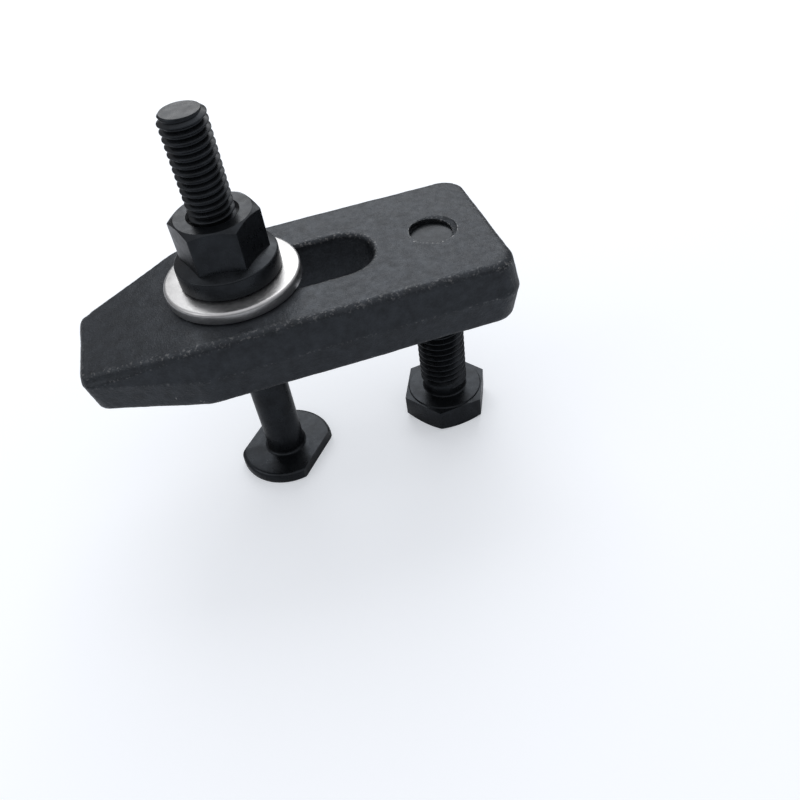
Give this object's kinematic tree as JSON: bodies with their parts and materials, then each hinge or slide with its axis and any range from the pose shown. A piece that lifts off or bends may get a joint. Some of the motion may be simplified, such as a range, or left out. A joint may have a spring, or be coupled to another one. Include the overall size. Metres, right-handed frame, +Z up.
{
  "type": "slotted strap clamp",
  "caption": "Forged strap clamp with a tapered nose and a slot, held by a T-bolt with washer and collar nut, levelled by a jack bolt in its heel.",
  "frame": {"origin": "on the surface that the T-bolt head and the jack bolt head stand on, under the middle of the whole clamp", "axes": "+Z up along both bolts, +X from the nose of the bar to its heel, +Y to the far side, which completes a right-handed frame"},
  "size_m": [0.0796, 0.0344, 0.0778],
  "materials": {
    "forged_black": "forged, black oxide, satin with a fine grain",
    "bolt_black": "turned and rolled, black oxide, semi-gloss",
    "nut_black": "turned, black oxide, semi-gloss",
    "washer_steel": "bright zinc, satin"
  },
  "bodies": {
    "bar": {"clamp_bar": "forged_black"},
    "carriage": {"washer": "washer_steel"},
    "nut": {"collar_nut": "nut_black"},
    "stud": {"t_bolt": "bolt_black"},
    "jack": {"jack_bolt": "bolt_black"}
  },
  "joints": [
    {"name": "slot_slide", "type": "slide", "parent": "bar", "child": "carriage", "axis": [1, 0, 0], "range_m": [-0.0035, 0.017]},
    {"name": "nut_spin", "type": "hinge", "parent": "carriage", "child": "nut", "pos_m": [-0.0096, 0, 0.0482], "axis": [0, 0, 1], "range_deg": [-3780, 4860]},
    {"name": "stud_travel", "type": "slide", "parent": "carriage", "child": "stud", "axis": [0, 0, 1], "range_m": [-0.01625, 0.0125]},
    {"name": "jack_travel", "type": "slide", "parent": "bar", "child": "jack", "axis": [0, 0, 1], "range_m": [-0.005, 0.027]}
  ],
  "couplings": [
    {"joint": "nut_spin", "follows": "stud_travel", "rad_per_m": -5026.5}
  ]
}
